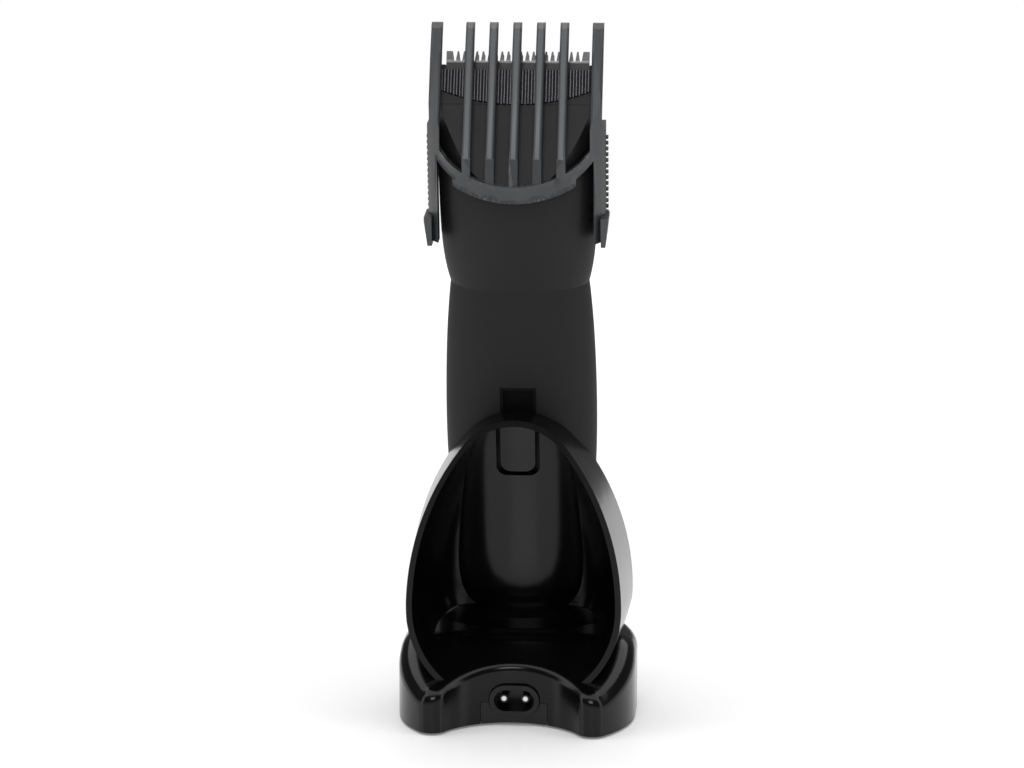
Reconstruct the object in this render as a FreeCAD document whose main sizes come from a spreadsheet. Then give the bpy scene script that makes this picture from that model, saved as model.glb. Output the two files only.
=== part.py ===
import FreeCAD, Part
import math
import os
import re
import Sketcher

# Hair clipper standing in its charging stand. Millimetres, +Z up.
# Stand frame: origin on the table under the middle of the base's round end, -Y is the side with the
# mains inlet. Clipper frame: origin at the foot of the clipper, z along its length, -y is its back.
# Blade frame: origin at the tip of the cutting teeth, z along the slanted skin side, -y away from it.

os.makedirs("parts", exist_ok=True)
doc = FreeCAD.newDocument("HairClipper")
sheet = doc.addObject("Spreadsheet::Sheet", "Dims")

SIZES = {
    # how the clipper stands in the cradle
    "lean": 9.3, "seat_y": 27.4, "seat_z": 30, "seat_gap": 0.5,
    # outline of the clipper's body: height, half width, half depth and middle of each section
    "tail_half": 15.5, "tail_depth": 9.2,
    "heel_z": 8, "heel_half": 21.4, "heel_depth": 13.3,
    "grip_z": 28, "grip_half": 22.9, "grip_depth": 14.2,
    "palm_z": 50, "palm_half": 23.3, "palm_depth": 14.4,
    "belly_z": 72, "belly_half": 23.5, "belly_depth": 14.5,
    "hip_z": 92, "hip_half": 22.75, "hip_depth": 14.45,
    "waist_z": 107.5, "waist_half": 21.4, "waist_depth": 14.3,
    "neck_z": 118, "neck_half": 23.3, "neck_depth": 15.8, "neck_y": -1.4,
    "collar_z": 137, "collar_half": 24.1, "collar_depth": 17.8, "collar_y": -2.6,
    "crown_z": 152, "crown_half": 24.5, "crown_depth": 15.4, "crown_y": -2.6,
    "brow_z": 178, "brow_half": 24.5, "brow_depth": 10.2, "brow_y": -3,
    "joint_z": 139.6, "joint_arc": 43, "shell_wall": 2, "head_wall": 1.8, "fit_gap": 0.1,
    "run_gap": 0.3, "reach": 80, "past": 1,
    # recess in the back
    "recess_half": 4.7, "recess_low": 44, "recess_high": 76, "recess_floor": 12.6, "tray_wall": 0.8,
    # blades
    "tip_y": 3, "tip_z": 178.5, "blade_tilt": 30,
    "blade_half": 21.6, "blade_thick": 1.2, "blade_long": 15, "tooth_pitch": 1.9, "tooth_slot": 0.95,
    "tooth_long": 3, "tooth_root": 0.5, "tooth_mouth": 1.5, "tooth_gaps": 21, "face_proud": 1.2,
    "cutter_half": 16.2, "cutter_thick": 0.9, "cutter_long": 12.7, "blade_gap": 0.05,
    "cutter_back": 0.8, "cutter_teeth": 17, "stroke": 1.2, "unit_low": 16.9, "guard_proud": 1.5,
    "guard_top": 6.2, "guard_half": 24.3, "rib_pitch": 1.8, "rib_wide": 0.9, "rib_proud": 0.6,
    "guard_arc": 62, "post_wide": 2.2, "post_deep": 8, "unit_top": 4.2,
    "yoke_half": 3.6, "yoke_deep": 13, "yoke_low": 26, "yoke_top": 5, "fork_high": 6.5,
    "fork_floor": 2.9, "pin_radius": 1, "pin_play": 0.36,
    "blade_screw": 1.1, "spring_wire": 0.4, "spring_clear": 1,
    "seal_drop": 2.4, "seal_rise": 1, "seal_thick": 1.4,
    # drive
    "motor_radius": 10, "motor_low": 112, "motor_long": 26, "motor_wall": 0.8, "magnet_wall": 1.9,
    "rotor_radius": 6.6, "rotor_long": 17, "shaft_radius": 1, "shaft_gap": 0.05, "end_cap_thick": 2.4,
    "crank_radius": 4.2, "crank_thick": 4.5, "crank_low": 142.5, "crank_pin_long": 8.6,
    # power pack and electronics
    "cell_radius": 7.1, "cell_long": 49, "cell_low": 14, "cell_x": 7.5, "link_thick": 0.4,
    "button_radius": 2.4, "button_high": 1,
    "board_y": 8.6, "board_thick": 1.2, "board_half": 10.5, "board_low": 14, "board_high": 102,
    "bulkhead_thick": 1.5, "bulkhead_low": 104.5, "bulkhead_mid": 66, "bulkhead_top": 138.8,
    "spine_y": -11.4, "spine_thick": 1.3, "spine_half": 6,
    "screw_x": 17.7, "screw_low": 24, "screw_high": 50, "screw_radius": 1.2, "screw_head": 2.3,
    "boss_radius": 2.5, "screw_long": 12, "screw_cap": 1.5,
    "contact_x": 6, "contact_radius": 1.6, "contact_thick": 0.8, "contact_depth": 0.6,
    "light_z": 70, "light_radius": 1.5,
    "slider_half": 5.5, "slider_low": 78, "slider_long": 17, "slider_proud": 2.4, "slider_travel": 5,
    "slider_round": 0.8,
    "slider_leg": 1.4, "slider_leg_long": 5,
    # comb
    "comb_half": 26.8, "comb_wide": 28.2, "comb_back": 20.2, "comb_wall": 1.9, "comb_cheek": 3.1,
    "comb_low": 123, "comb_high": 159, "comb_edge": -2.5, "arm_half": 23.6,
    "window_half": 24.6, "window_z": 158.4, "window_high": 15, "band_wide": 2.4, "band_deep": 3.8,
    "crescent_low": 138.2, "crescent_radius": 43, "crescent_half": 18.5,
    "tine_wide": 2.6, "tine_pitch": 7.1, "end_tine_in": 22.6, "end_tine_out": 26,
    "tine_ridge": 6, "tine_under": 2.2, "tine_tip": 8.2, "tine_count": 5, "tine_foot": 3.4,
    "tine_low": 45, "tine_back": 6.2, "tine_bend": 34.5, "tine_edge": 2, "tine_cheek": 5.1,
    "tine_slant": 2.6, "tine_brow": 3.8, "tine_drop": 0.5, "tine_chin": 3.1, "tine_curl": 1.4,
    "tine_heel": 36, "tine_sole": 2, "tine_toe": 44.2,
    "click_pitch": 1.8, "click_wide": 0.9, "click_proud": 0.7, "click_low": 130, "click_count": 14,
    "click_root": 0.8, "click_deep": 1.6,
    "tab_low": 122, "tab_high": 131, "tab_half": 27.9, "tab_root": 1.2, "tab_ledge": 0.2,
    "tab_thick": 1.2, "tab_back": 2, "tab_deep": 9,
    # stand
    "base_radius": 36.8, "base_long": 11.2, "base_top": 25, "base_foot": 0.8, "base_wall": 2.2,
    "slope": 24, "horn_y": -27, "horn_z": 12, "notch_radius": 24, "notch_y": -35.5, "horn_round": 4.8,
    "brow_round": 20, "edge_round": 5.6, "lip_round": 2.3, "roof_wall": 2.8, "mouth_high": 28,
    "egg_half": 33, "egg_top": 96.2, "egg_round": 19.5, "egg_mid": 38, "egg_corner": 31,
    "rim_y": -19.5, "rim_tilt": 4.5, "rest_wall": 2, "rest_grow": 1.9, "rest_front": -6,
    "web_wall": 2.2, "bowl_round": 14, "bowl_drop": 2, "bowl_deep": 10.5, "bowl_straight": 0.2,
    "cup_half": 27.2, "cup_depth": 17.4, "cup_high": 21, "cup_deep": 16,
    "tongue_half": 5.35, "tongue_gap": 1.35, "tongue_low": 50.6, "tongue_high": 65.8, "tongue_round": 3,
    "tongue_root": 0.15,
    "inlet_half": 7.7, "inlet_high": 4.8, "inlet_z": 8.2, "inlet_front": -13.2, "inlet_back": -1.5,
    "inlet_wall": 1.5, "inlet_deep": 8, "inlet_pin": 1.2, "inlet_pin_x": 3.3, "inlet_pin_long": 7,
    "inlet_pin_in": 4, "inlet_pin_set": 1.5, "inlet_clear": 10, "inlet_room": 2,
    "key_half": 1, "key_high": 0.9, "key_root": 0.3,
    "panel_half": 10.2, "panel_top": 7.5, "panel_wall": 3.2, "panel_open": 5,
    "plate_thick": 1.8, "line_gap": 0.15,
    "mains_half": 18, "mains_back": 0, "mains_long": 36, "mains_z": 5.2, "mains_thick": 1.6,
    "post_radius": 2, "post_inset": 3,
    "core_half": 8, "core_deep": 13, "core_high": 10, "core_x": -14, "core_y": 2,
    "can_radius": 4.5, "can_high": 10, "can_x": 12, "can_y": 10,
    "block_half": 9.5, "block_depth": 4, "block_low": -12, "pin_rise": 0.45, "plunger_radius": 1.1,
    "plunger_long": 9, "plunger_x": 6,
    "foot_radius": 4, "foot_x": 23, "foot_rear": -14, "foot_front": 30, "foot_high": 1.8,
    "plate_screw_x": 22, "plate_screw_rear": 0, "plate_screw_front": 23, "plate_screw_long": 9,
    "stud_radius": 3.1,
}
for row, (name, value) in enumerate(SIZES.items(), 1):
    sheet.set(f"A{row}", name)
    sheet.set(f"B{row}", str(value))
    sheet.setAlias(f"B{row}", name)
doc.recompute()


class Sheet:
    """Reads a size back from the sheet by its name."""

    def __getattr__(self, name):
        return float(sheet.get(name))


dim = Sheet()
CLIPPER = "placement(vector(0; seat_y; seat_z); rotation(vector(1; 0; 0); lean))"
BLADE = "placement(vector(0; tip_y; tip_z); rotation(vector(1; 0; 0); -blade_tilt))"
ALONG_X = "rotation(vector(0; 1; 0); 90)"
ALONG_Y = "rotation(vector(1; 0; 0); -90)"
UPRIGHT = "rotation(vector(1; 0; 0); 90)"
SIDEWAYS = "rotation(vector(1; 1; 1); 120)"
LEVEL = "rotation(vector(1; 0; 0); 0)"
TINY = 0.01
local = {}
pieces = []


def formula(text):
    """Writes the names of sizes in an expression as references to the sheet."""
    return re.sub(r"[A-Za-z_]\w*",
                  lambda word: "Dims." + word[0] if word[0] in SIZES else word[0], str(text))


def bind(item, **formulas):
    for prop, text in formulas.items():
        item.setExpression(prop, formula(text))
    return item


def place(item, x=0, y=0, z=0, turn=LEVEL, frame=""):
    """Binds where an item stands; a frame puts it in the blade's or another frame first."""
    here = f"placement(vector({x}; {y}; {z}); {turn})"
    local[item.Name] = f"{frame} * {here}" if frame else here
    return bind(item, Placement=local[item.Name])


def make(kind, name):
    return doc.addObject("Part::" + kind, name)


def box(name, x, y, z, wide, deep, high, frame="", turn=LEVEL):
    item = bind(make("Box", name), Length=wide, Width=deep, Height=high)
    return place(item, x, y, z, turn, frame)


def slab(name, half, y, z, deep, high, frame=""):
    """A box centred on the plane x = 0."""
    return box(name, f"-({half})", y, z, f"2 * ({half})", deep, high, frame)


def rod(name, radius, length, x, y, z, turn=LEVEL, frame=""):
    item = bind(make("Cylinder", name), Radius=radius, Height=length)
    return place(item, x, y, z, turn, frame)


def join(name, *items, refine=True):
    item = make("MultiFuse", name)
    item.Shapes = list(items)
    item.Refine = refine
    return item


def cut(name, base, *tools, refine=True):
    item = make("Cut", name)
    item.Base = base
    item.Tool = tools[0] if len(tools) == 1 else join(name + "_tools", *tools)
    item.Refine = refine
    return item


def both(name, base, tool, refine=True):
    item = make("Common", name)
    item.Base = base
    item.Tool = tool
    item.Refine = refine
    return item


def group(name, *items):
    """Several separate solids of one kind kept in one file."""
    item = make("Compound", name)
    item.Links = list(items)
    return item


def piece(name, item, frame=""):
    """Gives a finished sub-part its name and, on the clipper, the clipper's place in the stand."""
    item.Label = name
    if frame:
        here = local.get(item.Name)
        bind(item, Placement=f"{frame} * {here}" if here else frame)
    pieces.append(item)
    return item


def outline(name, points, turn, frame="", x=0, y=0, z=0):
    """A closed sketch of straight lines whose corners are bound to the sheet."""
    sketch = doc.addObject("Sketcher::SketchObject", name)
    count = len(points)
    spread = [
        FreeCAD.Vector(math.cos(step * math.tau / count), math.sin(step * math.tau / count), 0)
        for step in range(count)
    ]
    for step in range(count):
        sketch.addGeometry(Part.LineSegment(spread[step], spread[(step + 1) % count]))
    for step in range(count):
        sketch.addConstraint(Sketcher.Constraint("Coincident", step, 2, (step + 1) % count, 1))
    for step, (across, up) in enumerate(points):
        for kind, text, start in (("DistanceX", across, spread[step].x), ("DistanceY", up, spread[step].y)):
            index = sketch.addConstraint(Sketcher.Constraint(kind, -1, 1, step, 1, start))
            sketch.setExpression(f"Constraints[{index}]", formula(text))
    place(sketch, x, y, z, turn, frame)
    return sketch


def extrude(name, sketch, forward, back=0):
    item = make("Extrusion", name)
    item.Base = sketch
    item.DirMode = "Normal"
    item.Solid = True
    return bind(item, LengthFwd=forward, LengthRev=back)


def rounded(name, base, chosen):
    """Rounds the edges of a solid that the chooser gives a pair of radii."""
    doc.recompute()
    item = make("Fillet", name)
    item.Base = base
    radii = [(index, chosen(edge)) for index, edge in enumerate(base.Shape.Edges, 1)]
    item.Edges = [(index, *pair) for index, pair in radii if pair]
    return item


def loft(name, stations, grow=""):
    """The clipper's outline through elliptical sections, grown or shrunk all round by the same amount."""
    sections = []
    for step, (height, half, depth, middle) in enumerate(stations):
        ring = make("Ellipse", f"{name}_{step}")
        bind(ring, MajorRadius=f"{half} {grow}", MinorRadius=f"{depth} {grow}")
        sections.append(place(ring, 0, middle, height))
    item = make("Loft", name)
    item.Sections = sections
    item.Solid = True
    return item


LOWER = [("0", "tail_half", "tail_depth", "0"), ("heel_z", "heel_half", "heel_depth", "0"),
         ("grip_z", "grip_half", "grip_depth", "0"), ("palm_z", "palm_half", "palm_depth", "0"),
         ("belly_z", "belly_half", "belly_depth", "0"), ("hip_z", "hip_half", "hip_depth", "0"),
         ("waist_z", "waist_half", "waist_depth", "0")]
RESTING = LOWER[:5]
UPPER = [("waist_z", "waist_half", "waist_depth", "0"), ("neck_z", "neck_half", "neck_depth", "neck_y"),
         ("collar_z", "collar_half", "collar_depth", "collar_y"),
         ("crown_z", "crown_half", "crown_depth", "crown_y"), ("brow_z", "brow_half", "brow_depth", "brow_y")]


def body_solid(name, grow=""):
    return join(name, loft(name + "_lower", LOWER, grow), loft(name + "_upper", UPPER, grow))


def level_cut(name, base, low, high):
    """The part of a clipper solid between two heights."""
    return both(name, base, slab(name + "_slab", "reach", "-reach", low, "2 * reach", f"({high}) - ({low})"))


# ---------------------------------------------------------------- clipper body
skin_side = slab("skin_side", "reach", "-face_proud", "-3 * reach", "2 * reach", "4 * reach", BLADE)
body_outer = both("body_outer", body_solid("body_full"), skin_side)
body_inner = body_solid("body_inner", "- shell_wall")

# Two shell halves meet on the plane y = 0; screws go in from the back through bosses in both.
joint_disc = rod("joint_disc", "joint_arc", "2 * reach", 0, "-reach", "joint_z + joint_arc", ALONG_Y)
head_disc = rod("head_disc", "joint_arc - fit_gap", "2 * reach", 0, "-reach", "joint_z + joint_arc",
                ALONG_Y)
tube_walls = cut("tube_walls", body_outer, body_inner, refine=False)
tube = cut("tube", level_cut("tube_band", tube_walls, "heel_z", "crown_z"), joint_disc)


def screw_spots():
    return [(side, height) for side in ("-screw_x", "screw_x") for height in ("screw_low", "screw_high")]


def bosses(name):
    rods = [rod(f"{name}_{step}", "boss_radius", "2 * reach", x, "-reach", z, ALONG_Y)
            for step, (x, z) in enumerate(screw_spots())]
    return both(name + "_trimmed", join(name, *rods), body_solid(name + "_limit", "- shell_wall / 2"))


def bores(name, radius, start, length):
    return [rod(f"{name}_{step}", radius, length, x, start, z, ALONG_Y)
            for step, (x, z) in enumerate(screw_spots())]


rear_space = slab("rear_space", "reach", "-reach", "0", "reach", "reach * 3")
front_space = slab("front_space", "reach", "0", "0", "reach", "reach * 3")
walls = join("walls", tube, bosses("bosses"), refine=False)
recess_hole = slab("recess_hole", "recess_half + tray_wall + fit_gap", "-reach",
                   "recess_low - tray_wall - fit_gap", "reach - recess_floor + tray_wall + fit_gap",
                   "recess_high - recess_low + 2 * tray_wall + 2 * fit_gap")
rear_shell = cut("rear_shell_part", both("rear_half", walls, rear_space), recess_hole,
                 *bores("rear_bore", "screw_radius + fit_gap", "-reach", "2 * reach"),
                 *bores("rear_sink", "screw_head + fit_gap", "-reach", "reach - screw_long / 2"))
piece("rear_shell", rear_shell, CLIPPER)

light_hole = rod("light_hole", "light_radius + fit_gap", "reach", 0, 0, "light_z", ALONG_Y)
leg_low = "slider_low + slider_long / 2 - slider_leg_long / 2"
leg_hole = slab("leg_hole", "slider_leg + run_gap", "0", f"{leg_low} - run_gap", "reach",
                "slider_leg_long + slider_travel + 2 * run_gap")
front_shell = cut("front_shell_part", both("front_half", walls, front_space), light_hole, leg_hole,
                  *bores("front_bore", "screw_radius + fit_gap", "0", "screw_long / 2 + fit_gap"))
piece("front_shell", front_shell, CLIPPER)

# Lined recess in the back, a tray let into the rear shell.
tray_block = slab("tray_block", "recess_half + tray_wall", "-reach", "recess_low - tray_wall",
                  "reach - recess_floor + tray_wall", "recess_high - recess_low + 2 * tray_wall")
tray_space = slab("tray_space", "recess_half", "-reach", "recess_low", "reach - recess_floor",
                  "recess_high - recess_low")
tray = cut("tray", both("tray_flush", tray_block, body_solid("tray_limit", "- fit_gap / 2")), tray_space)
piece("recess_tray", tray, CLIPPER)

# Tail cap with two contact windows.
cap_solid = level_cut("cap_solid", body_outer, "0", "heel_z")
cap_space = level_cut("cap_space", body_inner, "shell_wall", "heel_z + shell_wall")
contact_spots = ("-contact_x", "contact_x")
cap_windows = [rod(f"cap_window_{step}", "contact_radius + fit_gap", "shell_wall * 2", x, 0, "-shell_wall")
               for step, x in enumerate(contact_spots)]
piece("tail_cap", cut("cap", cap_solid, cap_space, *cap_windows), CLIPPER)
contacts = [rod(f"contact_{step}", "contact_radius", "shell_wall - contact_depth + contact_thick",
                x, 0, "contact_depth") for step, x in enumerate(contact_spots)]
piece("charge_contacts", group("contacts", *contacts), CLIPPER)

screws = [join(f"screw_{step}",
               rod(f"screw_shank_{step}", "screw_radius", "screw_long", x, "-screw_long / 2", z, ALONG_Y),
               rod(f"screw_cap_{step}", "screw_head", "screw_cap", x, "-screw_long / 2 - screw_cap", z,
                   ALONG_Y))
          for step, (x, z) in enumerate(screw_spots())]
piece("shell_screws", group("screws", *screws), CLIPPER)

# ---------------------------------------------------------------- inside the body
inner_fit = body_solid("inner_fit", "- shell_wall - fit_gap")
bulkhead_spots = ("bulkhead_mid", "bulkhead_low", "bulkhead_top - bulkhead_thick / 2")
bulkheads = [level_cut(f"bulkhead_{step}", inner_fit, low, f"{low} + bulkhead_thick")
             for step, low in enumerate(bulkhead_spots)]
spine = slab("spine", "spine_half", "spine_y", "cell_low", "spine_thick", "bulkhead_top - cell_low")
board_room = slab("board_room", "board_half + run_gap", "board_y - run_gap", "0", "reach",
                  "bulkhead_low + reach / 2")
shaft_room = rod("shaft_room", "crank_radius + run_gap", "reach", 0, 0, "bulkhead_low")
frame_solid = join("frame_solid", spine, *bulkheads)
piece("chassis", cut("frame", frame_solid, board_room, shaft_room, recess_hole), CLIPPER)

for side, x in (("left", "-cell_x"), ("right", "cell_x")):
    cell = join(f"cell_{side}",
                rod(f"cell_can_{side}", "cell_radius", "cell_long - button_high", x, 0, "cell_low"),
                rod(f"cell_button_{side}", "button_radius", "button_high", x, 0,
                    "cell_low + cell_long - button_high"))
    piece(f"battery_{side}", cell, CLIPPER)
link = slab("link", "cell_x + button_radius", "-button_radius", "cell_low + cell_long",
            "2 * button_radius", "link_thick")
piece("battery_link", link, CLIPPER)
board = slab("board", "board_half", "board_y", "board_low", "board_thick", "board_high - board_low")
piece("main_board", board, CLIPPER)
switch = slab("switch", "slider_leg * 2", "board_y + board_thick",
              "slider_low + slider_long / 2 - slider_leg_long", "board_thick",
              "slider_leg_long * 2 + slider_travel")
piece("board_switch", switch, CLIPPER)
light = rod("light", "light_radius", "belly_depth - board_y - board_thick - fit_gap", 0,
            "board_y + board_thick", "light_z", ALONG_Y)
piece("status_light", light, CLIPPER)

# ---------------------------------------------------------------- motor and crank
motor_tube = rod("motor_tube", "motor_radius", "motor_long", 0, 0, "motor_low")
motor_space = rod("motor_space", "motor_radius - motor_wall", "motor_long - motor_wall", 0, 0, "motor_low")
nose_bore = rod("nose_bore", "shaft_radius + shaft_gap", "reach", 0, 0, "motor_low")
piece("motor_can", cut("motor_body", motor_tube, motor_space, nose_bore), CLIPPER)
magnet_low = "motor_low + (motor_long - rotor_long) / 2"
magnet_tube = rod("magnet_tube", "motor_radius - motor_wall", "rotor_long", 0, 0, magnet_low)
magnet_bore = rod("magnet_bore", "motor_radius - motor_wall - magnet_wall", "rotor_long", 0, 0, magnet_low)
piece("motor_magnets", cut("magnets", magnet_tube, magnet_bore), CLIPPER)
cap_disc = rod("cap_disc", "motor_radius", "end_cap_thick", 0, 0, "motor_low - end_cap_thick")
cap_bore = rod("cap_bore", "shaft_radius + shaft_gap", "end_cap_thick", 0, 0, "motor_low - end_cap_thick")
piece("motor_end_cap", cut("end_cap", cap_disc, cap_bore), CLIPPER)
rotor_disc = rod("rotor_disc", "rotor_radius", "rotor_long", 0, 0, magnet_low)
rotor_bore = rod("rotor_bore", "shaft_radius", "rotor_long", 0, 0, magnet_low)
piece("motor_rotor", cut("rotor", rotor_disc, rotor_bore), CLIPPER)
shaft = rod("shaft", "shaft_radius", "crank_low + crank_thick / 2 - motor_low + end_cap_thick - fit_gap",
            0, 0, "motor_low - end_cap_thick + fit_gap")
piece("motor_shaft", shaft, CLIPPER)
crank_disc = rod("crank_disc", "crank_radius", "crank_thick", 0, 0, "crank_low")
crank_pin = rod("crank_pin", "pin_radius", "crank_pin_long", 0, "stroke", "crank_low + crank_thick")
crank_bore = rod("crank_bore", "shaft_radius", "crank_thick / 2", 0, 0, "crank_low")
piece("eccentric", cut("crank", join("crank_solid", crank_disc, crank_pin), crank_bore), CLIPPER)

# ---------------------------------------------------------------- power slider
slider_y = "belly_depth + run_gap"
slider_plate = slab("slider_plate", "slider_half", slider_y, "slider_low", "slider_proud", "slider_long")
slider_stem = slab("slider_stem", "slider_leg", "board_y + 2 * board_thick + run_gap", leg_low,
                   "belly_depth + 2 * run_gap - board_y - 2 * board_thick", "slider_leg_long")
slider_solid = join("slider_solid", slider_plate, slider_stem)


def slider_edges(edge):
    """The outer edges of the slider's thumb plate."""
    outer = dim.belly_depth + dim.run_gap + dim.slider_proud
    where = edge.CenterOfMass
    return (dim.slider_round, dim.slider_round) if abs(where.y - outer) < TINY else None


piece("power_slider", rounded("slider", slider_solid, slider_edges), CLIPPER)

# ---------------------------------------------------------------- head
skin_inner = slab("skin_inner", "reach", "head_wall - face_proud", "-2 * reach", "reach", "3 * reach", BLADE)
below_unit = slab("below_unit", "reach", "-reach", "-3 * reach", "2 * reach", "3 * reach - unit_low", BLADE)
upper_outer = both("upper_outer", loft("upper_loft", UPPER), skin_side)
upper_hollow = loft("upper_hollow", UPPER, "- head_wall")
head_walls = cut("head_walls", upper_outer, both("upper_inner", upper_hollow, skin_inner))
head_above = both("head_above", head_walls, head_disc, False)
piece("head_housing", both("head", head_above, below_unit, False), CLIPPER)

seal_outer = level_cut("seal_outer", loft("seal_out", UPPER, "- shell_wall - fit_gap"),
                       "collar_z - seal_drop", "collar_z + seal_rise")
seal_inner = loft("seal_in", UPPER, "- shell_wall - fit_gap - seal_thick")
piece("head_seal", cut("seal", seal_outer, seal_inner), CLIPPER)

# ---------------------------------------------------------------- cutting unit
# The unit's frame reaches from the head's slanted edge up to the teeth, with an apron behind the guard.
above_unit = slab("above_unit", "reach", "-reach", "fit_gap - unit_low", "2 * reach",
                  "unit_low - unit_top - fit_gap", BLADE)
unit_loft = both("unit_loft", upper_outer, above_unit, False)
unit_room = slab("unit_room", "blade_half - post_wide", "blade_thick - fit_gap", "-unit_low * 2",
                 "reach", "unit_low * 3", BLADE)
blade_pocket = slab("blade_pocket", "blade_half + fit_gap", "-fit_gap", "-blade_long - fit_gap",
                    "blade_thick + fit_gap", "blade_long * 2", BLADE)
guard_pocket = rod("guard_pocket", "guard_arc + line_gap", "reach", 0, "-reach", "guard_arc - unit_low",
                   ALONG_Y, BLADE)
unit_walls = cut("unit_walls", unit_loft, both("unit_hollow", upper_hollow, unit_room), refine=False)
unit_pocketed = cut("unit_pocketed", unit_walls, blade_pocket, refine=False)
unit_cover = cut("unit_cover", unit_pocketed, guard_pocket, refine=False)


blade_spots = list(enumerate(("post_wide / 2 - blade_half", "blade_half - post_wide / 2")))
blade_z = "-blade_long * 2 / 3"
unit_base = unit_cover
for step, x in blade_spots:
    post_bore = rod(f"post_bore_{step}", "blade_screw / 2", "post_deep", x, 0, blade_z, ALONG_Y, BLADE)
    unit_base = cut(f"unit_base_{step}", unit_base, post_bore, refine=False)
piece("blade_base", unit_base, CLIPPER)


gaps = int(dim.tooth_gaps)
blade_plate = slab("blade_plate", "blade_half", "0", "-blade_long", "blade_thick", "blade_long", BLADE)
blade_bores = [rod(f"blade_bore_{step}", "blade_screw / 2 + fit_gap", "blade_thick * 2", x,
                   "-blade_thick / 2", blade_z, ALONG_Y, BLADE) for step, x in blade_spots]
VALLEY = [("-tooth_root / 2", "-tooth_long"), ("tooth_root / 2", "-tooth_long"),
          ("tooth_mouth / 2", "fit_gap"), ("-tooth_mouth / 2", "fit_gap")]


def valley(step):
    """The gap between two pointed teeth of the fixed blade."""
    middle = f"({step - (gaps - 1) / 2}) * tooth_pitch"
    sketch = outline(f"valley_line_{step}", VALLEY, UPRIGHT, BLADE, x=middle)
    return extrude(f"valley_{step}", sketch, "2 * blade_thick", "2 * blade_thick")


fixed = cut("fixed", blade_plate, *blade_bores, *[valley(step) for step in range(gaps)])
piece("fixed_blade", fixed, CLIPPER)

guard_plate = slab("guard_plate", "guard_half", "-guard_proud", "-unit_low - guard_top", "guard_proud",
                   "unit_low", BLADE)
guard_disc = rod("guard_disc", "guard_arc", "guard_proud * 4", 0, "-guard_proud * 2",
                 "guard_arc - unit_low", ALONG_Y, BLADE)
rib_count = int(2 * dim.guard_half / dim.rib_pitch)
ribs = [box(f"rib_{step}", f"({step} - {(rib_count - 1) / 2}) * rib_pitch - rib_wide / 2",
            "-guard_proud - rib_proud", "-unit_low - guard_top", "rib_wide", "rib_proud * 2", "unit_low",
            BLADE) for step in range(rib_count)]
guard = both("guard", join("guard_solid", guard_plate, *ribs), guard_disc)
piece("blade_guard", guard, CLIPPER)

blade_screws = [rod(f"blade_screw_{step}", "blade_screw / 2", "post_deep - fit_gap", x, "0", blade_z,
                    ALONG_Y, BLADE) for step, x in blade_spots]
piece("blade_screws", group("blade_screw_pair", *blade_screws), CLIPPER)
spring_y = "blade_thick + cutter_thick + run_gap + spring_wire"
spring_long = "blade_half - post_wide - yoke_half - stroke - spring_clear"
springs = [rod(f"spring_{step}", "spring_wire", spring_long, x, spring_y, "-cutter_long", ALONG_X, BLADE)
           for step, x in enumerate(("post_wide - blade_half", "yoke_half + stroke + spring_clear"))]
piece("blade_springs", group("spring_pair", *springs), CLIPPER)

cutter_y = "blade_thick + blade_gap"
cutter_plate = slab("cutter_plate", "cutter_half", cutter_y, "-cutter_back - cutter_long",
                    "cutter_thick", "cutter_long", BLADE)
slot_count = int(dim.cutter_teeth)
cutter_slots = [box(f"cutter_slot_{step}",
                    f"({step - (slot_count - 1) / 2}) * tooth_pitch - tooth_slot / 2", "0",
                    "-cutter_back - tooth_long", "tooth_slot", "blade_thick * 3", "tooth_long * 2", BLADE)
                for step in range(slot_count)]
piece("moving_blade", cut("cutter", cutter_plate, *cutter_slots), CLIPPER)
yoke_y = f"{cutter_y} + cutter_thick"
yoke_stem = slab("yoke_stem", "yoke_half", yoke_y, "-yoke_low", "cutter_thick * 3",
                 "yoke_low - yoke_top", BLADE)
yoke_fork = slab("yoke_fork", "yoke_half", yoke_y, "-yoke_low", f"yoke_deep - ({yoke_y})", "fork_high",
                 BLADE)
yoke_slot = slab("yoke_slot", "pin_radius + pin_play", f"{yoke_y} + fork_floor", "-yoke_low * 2",
                 "yoke_deep * 2", "yoke_low * 2", BLADE)
piece("drive_yoke", cut("yoke", join("yoke_solid", yoke_stem, yoke_fork), yoke_slot), CLIPPER)

# ---------------------------------------------------------------- comb
def oval(name, half, depth, low, high):
    """An upright oval block in the comb's cross-section."""
    ring = bind(make("Ellipse", name + "_ring"), MajorRadius=half, MinorRadius=depth)
    return extrude(name, place(ring, 0, "collar_y", low), f"({high}) - ({low})")


comb_outer = oval("comb_outer", "comb_wide", "comb_back", "comb_low", "comb_high")
comb_inner = oval("comb_inner", "comb_wide - comb_cheek", "comb_back - comb_wall", "comb_low - past",
                  "comb_high + past")
comb_limit = slab("comb_limit", "comb_half", "-reach", "comb_low", "reach + comb_edge",
                  "comb_high - comb_low")
comb_tube = both("comb_tube", cut("comb_walls", comb_outer, comb_inner), comb_limit)
disc_low = rod("disc_low", "crescent_radius", "reach", 0, "-reach", "crescent_low + crescent_radius",
               ALONG_Y)


def opening(name, wide, high):
    """An oval prism through the comb from front to back."""
    ring = bind(make("Ellipse", name + "_ring"), MajorRadius=wide, MinorRadius=high)
    return extrude(name, place(ring, 0, "-reach", "window_z", UPRIGHT), "reach", "2 * reach")


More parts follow.
